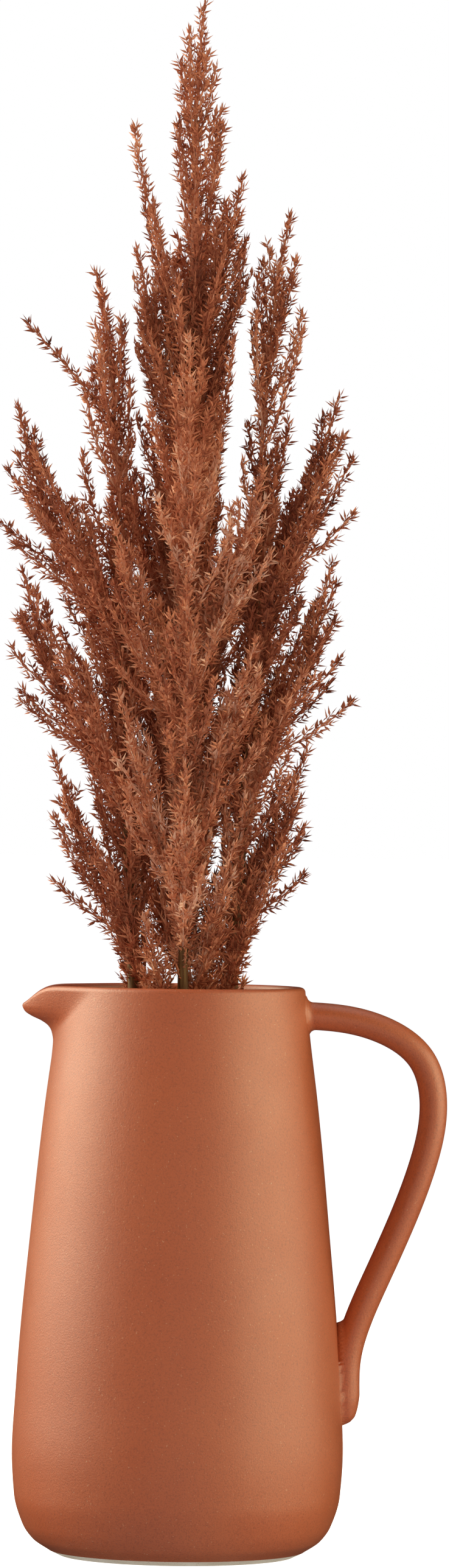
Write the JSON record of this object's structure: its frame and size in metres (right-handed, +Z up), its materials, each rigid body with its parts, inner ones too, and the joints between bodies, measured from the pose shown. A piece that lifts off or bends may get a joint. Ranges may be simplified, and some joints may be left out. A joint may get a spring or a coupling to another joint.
{
  "type": "pitcher vase",
  "caption": "Stoneware pitcher-shaped vase with a pulled spout and a loop handle, holding a tall loose bunch of feathery plumed stems.",
  "frame": {"origin": "centre of the jug's flat underside, on the jug's own axis", "axes": "+Z up, spout along -X, handle along +X, the viewer looks along +Y"},
  "size_m": [0.2408, 0.1789, 0.8181],
  "materials": {
    "glazed_stoneware": "satin",
    "bare_clay": "matte",
    "dry_foam": "matte",
    "stalk": "matte",
    "plume": "matte"
  },
  "bodies": {
    "vase": {"base": "bare_clay", "vase_body": "glazed_stoneware", "handle": "glazed_stoneware", "foam": "dry_foam"},
    "left_stem": {"left_plume_1": "plume", "left_plume_10": "plume", "left_plume_2": "plume", "left_plume_3": "plume", "left_plume_4": "plume", "left_plume_5": "plume", "left_plume_6": "plume", "left_plume_7": "plume", "left_plume_8": "plume", "left_plume_9": "plume", "left_stalk": "stalk"},
    "right_stem": {"right_plume_1": "plume", "right_plume_10": "plume", "right_plume_2": "plume", "right_plume_3": "plume", "right_plume_4": "plume", "right_plume_5": "plume", "right_plume_6": "plume", "right_plume_7": "plume", "right_plume_8": "plume", "right_plume_9": "plume", "right_stalk": "stalk"},
    "front_stem": {"front_plume_1": "plume", "front_plume_10": "plume", "front_plume_2": "plume", "front_plume_3": "plume", "front_plume_4": "plume", "front_plume_5": "plume", "front_plume_6": "plume", "front_plume_7": "plume", "front_plume_8": "plume", "front_plume_9": "plume", "front_stalk": "stalk"},
    "back_stem": {"back_plume_1": "plume", "back_plume_10": "plume", "back_plume_2": "plume", "back_plume_3": "plume", "back_plume_4": "plume", "back_plume_5": "plume", "back_plume_6": "plume", "back_plume_7": "plume", "back_plume_8": "plume", "back_plume_9": "plume", "back_stalk": "stalk"},
    "centre_stem": {"centre_plume_1": "plume", "centre_plume_2": "plume", "centre_plume_3": "plume", "centre_plume_4": "plume", "centre_plume_5": "plume", "centre_plume_6": "plume", "centre_plume_7": "plume", "centre_stalk": "stalk"}
  },
  "joints": [
    {"name": "left_stem_lift", "type": "slide", "parent": "vase", "child": "left_stem", "axis": [-0.0499, 0, 0.9988], "range_m": [0, 0.3]},
    {"name": "right_stem_lift", "type": "slide", "parent": "vase", "child": "right_stem", "axis": [0.0499, 0, 0.9988], "range_m": [0, 0.3]},
    {"name": "front_stem_lift", "type": "slide", "parent": "vase", "child": "front_stem", "axis": [0, -0.0499, 0.9988], "range_m": [0, 0.3]},
    {"name": "back_stem_lift", "type": "slide", "parent": "vase", "child": "back_stem", "axis": [0, 0.0499, 0.9988], "range_m": [0, 0.3]},
    {"name": "centre_stem_lift", "type": "slide", "parent": "vase", "child": "centre_stem", "axis": [0, 0, 1], "range_m": [0, 0.3]}
  ]
}
